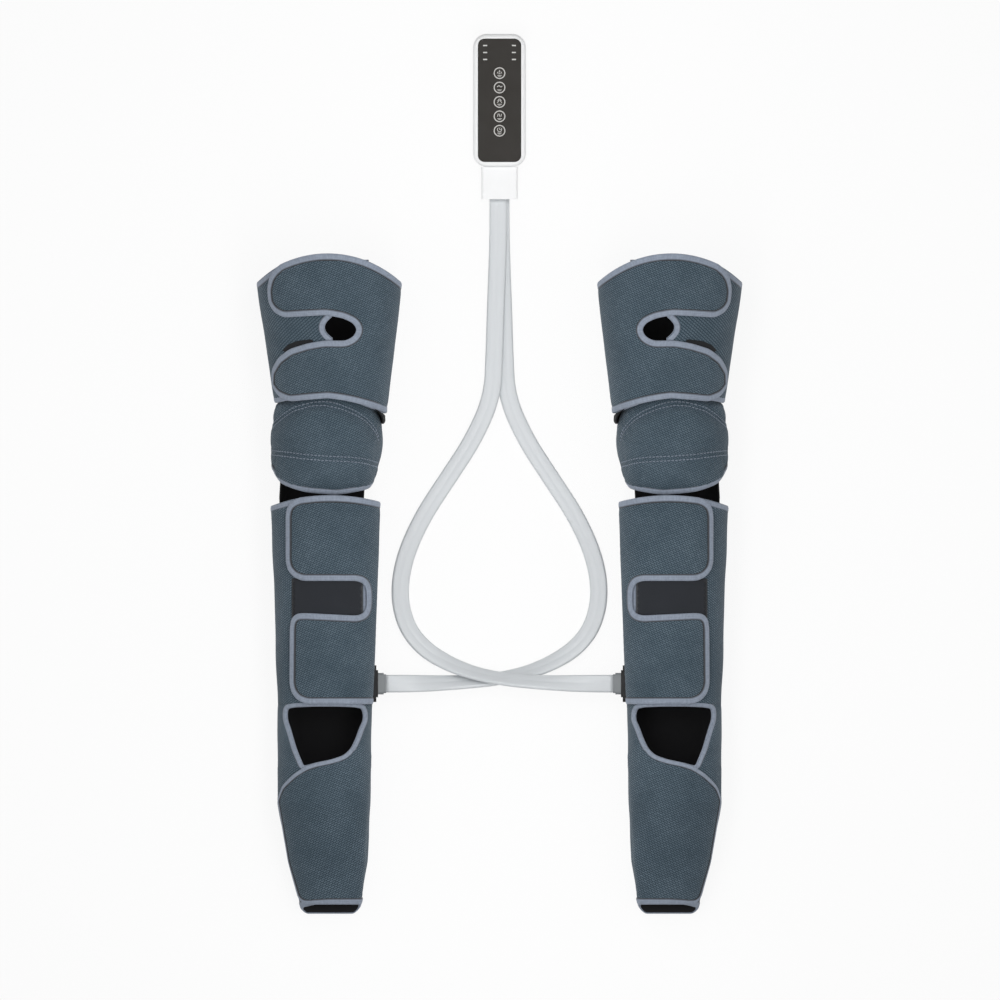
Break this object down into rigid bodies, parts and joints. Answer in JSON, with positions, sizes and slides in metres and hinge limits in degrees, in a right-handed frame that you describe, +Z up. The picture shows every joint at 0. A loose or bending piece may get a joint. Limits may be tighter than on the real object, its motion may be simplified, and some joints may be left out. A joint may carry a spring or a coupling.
{
  "type": "air compression leg massager",
  "caption": "Pair of wrap-around air compression leg massagers for foot, calf and thigh with knee pads, flat hoses and a hand control with push buttons.",
  "frame": {"origin": "on the resting surface, below the middle of the whole object", "axes": "+X across from the wearer's right leg to the left leg as seen from above, +Y from the toes towards the hand control, +Z up, out of the front of the leg"},
  "size_m": [0.6092, 1.099, 0.1326],
  "materials": {
    "outer_fabric": "woven",
    "flap_fabric": "woven",
    "lining": "brushed",
    "air_cell": "matte",
    "hook_tape": "hooked",
    "loop_panel": "looped",
    "heater_film": "satin",
    "strap": "woven",
    "socket_plastic": "matte",
    "plug_plastic": "satin",
    "hose": "satin",
    "white_shell": "satin",
    "panel": "satin",
    "button": "satin",
    "indicator": "satin",
    "board": "matte",
    "switch": "matte",
    "pump_metal": "satin",
    "valve_plastic": "matte",
    "battery": "matte",
    "steel": "brushed"
  },
  "bodies": {
    "calves_and_hoses": {"air_sockets": "socket_plastic", "hose_plugs": "plug_plastic", "calf_loop_panels": "loop_panel", "hose_left": "hose", "hose_right": "hose", "hose_manifold": "white_shell", "calf_cuff_left": "outer_fabric", "calf_air_cell_left": "air_cell", "calf_lining_left": "lining", "knee_strap_left": "strap", "ankle_gusset_left": "outer_fabric", "calf_cuff_right": "outer_fabric", "calf_air_cell_right": "air_cell", "calf_lining_right": "lining", "knee_strap_right": "strap", "ankle_gusset_right": "outer_fabric"},
    "handset": {"front_shell": "white_shell", "rear_shell": "white_shell", "control_panel": "panel", "indicator_lights": "indicator", "housing_screws": "steel", "circuit_board": "board", "tact_switches": "switch", "air_pumps": "pump_metal", "air_valves": "valve_plastic", "battery_pack": "battery", "charging_port": "steel"},
    "thigh_left": {"thigh_cuff_left": "outer_fabric", "thigh_air_cell_left": "air_cell", "thigh_lining_left": "lining", "knee_pad_left": "outer_fabric", "knee_heater_left": "heater_film", "knee_lining_left": "lining"},
    "foot_left": {"foot_cuff_left": "outer_fabric", "foot_air_cell_left": "air_cell", "foot_lining_left": "lining"},
    "thigh_flap_left": {"thigh_flap_left": "flap_fabric", "thigh_hook_tape_left": "hook_tape"},
    "calf_flap_left": {"calf_flap_left": "flap_fabric", "calf_hook_tape_left": "hook_tape"},
    "foot_flap_left": {"foot_flap_left": "flap_fabric"},
    "thigh_right": {"thigh_cuff_right": "outer_fabric", "thigh_air_cell_right": "air_cell", "thigh_lining_right": "lining", "knee_pad_right": "outer_fabric", "knee_heater_right": "heater_film", "knee_lining_right": "lining"},
    "foot_right": {"foot_cuff_right": "outer_fabric", "foot_air_cell_right": "air_cell", "foot_lining_right": "lining"},
    "thigh_flap_right": {"thigh_flap_right": "flap_fabric", "thigh_hook_tape_right": "hook_tape"},
    "calf_flap_right": {"calf_flap_right": "flap_fabric", "calf_hook_tape_right": "hook_tape"},
    "foot_flap_right": {"foot_flap_right": "flap_fabric"},
    "button_1": {"button_1": "button"},
    "button_2": {"button_2": "button"},
    "button_3": {"button_3": "button"},
    "button_4": {"button_4": "button"},
    "button_5": {"button_5": "button"}
  },
  "joints": [
    {"name": "knee_flex_left", "type": "hinge", "parent": "calves_and_hoses", "child": "thigh_left", "pos_m": [-0.217, -0.0276, 0.0101], "axis": [-1, 0, 0], "range_deg": [0, 60], "deforming": ["knee_strap_left"]},
    {"name": "ankle_flex_left", "type": "hinge", "parent": "calves_and_hoses", "child": "foot_left", "pos_m": [-0.217, -0.33154, 0.004], "axis": [-1, 0, 0], "range_deg": [0, 40], "deforming": ["ankle_gusset_left"]},
    {"name": "thigh_flap_left", "type": "hinge", "parent": "thigh_left", "child": "thigh_flap_left", "pos_m": [-0.14678, 0.0805, 0.06768], "axis": [0.1114, 0.9894, 0.093], "range_deg": [0, 100]},
    {"name": "calf_flap_left", "type": "hinge", "parent": "calves_and_hoses", "child": "calf_flap_left", "pos_m": [-0.16437, -0.28303, 0.06282], "axis": [0.0376, 0.9988, 0.0305], "range_deg": [0, 100]},
    {"name": "foot_flap_left", "type": "hinge", "parent": "foot_left", "child": "foot_flap_left", "pos_m": [-0.17815, -0.5349, 0.02669], "axis": [0.0723, 0.9793, 0.1888], "range_deg": [0, 75]},
    {"name": "knee_flex_right", "type": "hinge", "parent": "calves_and_hoses", "child": "thigh_right", "pos_m": [0.217, -0.0276, 0.0101], "axis": [-1, 0, 0], "range_deg": [0, 60], "deforming": ["knee_strap_right"]},
    {"name": "ankle_flex_right", "type": "hinge", "parent": "calves_and_hoses", "child": "foot_right", "pos_m": [0.217, -0.33154, 0.004], "axis": [-1, 0, 0], "range_deg": [0, 40], "deforming": ["ankle_gusset_right"]},
    {"name": "thigh_flap_right", "type": "hinge", "parent": "thigh_right", "child": "thigh_flap_right", "pos_m": [0.14678, 0.0805, 0.06768], "axis": [0.1114, -0.9894, -0.093], "range_deg": [0, 100]},
    {"name": "calf_flap_right", "type": "hinge", "parent": "calves_and_hoses", "child": "calf_flap_right", "pos_m": [0.16437, -0.28303, 0.06282], "axis": [0.0376, -0.9988, -0.0305], "range_deg": [0, 100]},
    {"name": "foot_flap_right", "type": "hinge", "parent": "foot_right", "child": "foot_flap_right", "pos_m": [0.17815, -0.5349, 0.02669], "axis": [0.0723, -0.9793, -0.1888], "range_deg": [0, 75]},
    {"name": "handset_unplug", "type": "slide", "parent": "calves_and_hoses", "child": "handset", "axis": [0, 1, 0], "range_m": [0, 0.03]},
    {"name": "button_1_press", "type": "slide", "parent": "handset", "child": "button_1", "axis": [0, 0, -1], "range_m": [0, 0.0008], "stiffness_N_per_m": 400},
    {"name": "button_2_press", "type": "slide", "parent": "handset", "child": "button_2", "axis": [0, 0, -1], "range_m": [0, 0.0008], "stiffness_N_per_m": 400},
    {"name": "button_3_press", "type": "slide", "parent": "handset", "child": "button_3", "axis": [0, 0, -1], "range_m": [0, 0.0008], "stiffness_N_per_m": 400},
    {"name": "button_4_press", "type": "slide", "parent": "handset", "child": "button_4", "axis": [0, 0, -1], "range_m": [0, 0.0008], "stiffness_N_per_m": 400},
    {"name": "button_5_press", "type": "slide", "parent": "handset", "child": "button_5", "axis": [0, 0, -1], "range_m": [0, 0.0008], "stiffness_N_per_m": 400}
  ]
}
